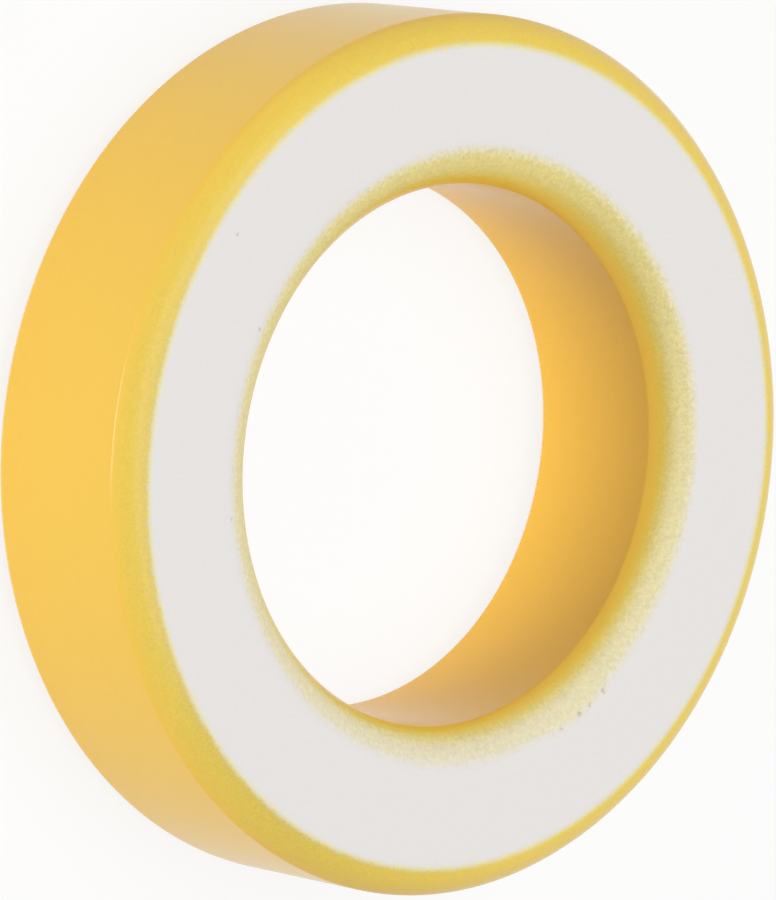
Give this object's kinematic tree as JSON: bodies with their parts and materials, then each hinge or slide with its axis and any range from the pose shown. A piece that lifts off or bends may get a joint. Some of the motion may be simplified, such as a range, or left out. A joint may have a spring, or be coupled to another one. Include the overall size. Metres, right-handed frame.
{
  "type": "toroid core",
  "caption": "Coated toroid core: a flat pressed ring with rounded bevels, a golden epoxy coat and a white sprayed face, wound with wire through its bore.",
  "frame": {"origin": "centre of the lower flat face, on the ring's axis", "axes": "+Z along the ring's axis, from the plain lower face towards the white sprayed face"},
  "size_m": [0.0572, 0.0572, 0.014],
  "materials": {
    "coating": "satin epoxy powder coat, golden yellow, with a white sprayed upper face"
  },
  "bodies": {
    "root": {"core": "coating"}
  },
  "joints": []
}
